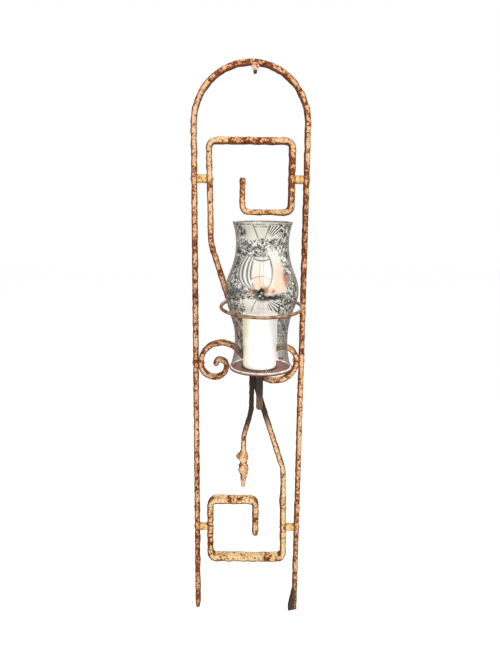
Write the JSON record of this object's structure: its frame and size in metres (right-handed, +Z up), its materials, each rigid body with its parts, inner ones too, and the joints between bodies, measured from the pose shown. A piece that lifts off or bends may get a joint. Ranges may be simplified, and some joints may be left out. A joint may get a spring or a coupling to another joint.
{
  "type": "torch sconce",
  "caption": "Wall-hung candle sconce: a tall hammered-iron arch with square scrolls, an S-scroll, a flame-tipped tail and a ringed hurricane glass over a candle dish.",
  "frame": {"origin": "where the hanging screw's axis meets the wall's face", "axes": "+X right seen from the room, +Y into the wall along the screw, +Z up along the legs"},
  "size_m": [0.1928, 0.1838, 0.964],
  "materials": {
    "distressed_iron": "hammered, distressed cream over rust",
    "cream_spacer": "worn cream paint",
    "dark_iron": "dark brown, rubbed",
    "rust_brown_pan": "rust brown, satin",
    "bronze_ring": "bronze brown, satin",
    "painted_screw": "worn cream paint",
    "lustre_glass": "clear with crackled silver lustre",
    "ivory_wax": "smooth wax",
    "wick_cotton": "braided cotton"
  },
  "bodies": {
    "screw": {"hanging_screw": "painted_screw"},
    "frame": {"arch_frame": "distressed_iron", "upper_scroll_rod": "distressed_iron", "lower_scroll_rod": "distressed_iron", "s_scroll": "distressed_iron", "torch_tail": "distressed_iron", "back_strap": "dark_iron", "glass_ring": "bronze_ring", "candle_pan": "rust_brown_pan", "pan_arm": "dark_iron", "spacer_sleeve_upper_left": "cream_spacer", "spacer_sleeve_upper_right": "cream_spacer", "spacer_sleeve_lower_left": "cream_spacer", "spacer_sleeve_lower_right": "cream_spacer", "spacer_rivet_upper_left": "distressed_iron", "spacer_rivet_upper_right": "distressed_iron", "spacer_rivet_lower_left": "distressed_iron", "spacer_rivet_lower_right": "distressed_iron", "scroll_rivet_left": "distressed_iron", "scroll_rivet_right": "distressed_iron", "strap_rivet": "dark_iron", "arm_rivet": "dark_iron", "pan_rivet": "dark_iron"},
    "glass": {"hurricane_glass": "lustre_glass"},
    "candle": {"candle_wax": "ivory_wax", "candle_wick": "wick_cotton"}
  },
  "joints": [
    {"name": "hang_swing", "type": "hinge", "parent": "screw", "child": "frame", "pos_m": [0, 0, 0], "axis": [0, 1, 0], "range_deg": [-12, 12]},
    {"name": "glass_lift", "type": "slide", "parent": "frame", "child": "glass", "axis": [0, 0, 1], "range_m": [0, 0.12]},
    {"name": "candle_lift", "type": "slide", "parent": "frame", "child": "candle", "axis": [0, 0, 1], "range_m": [0, 0.26]}
  ]
}
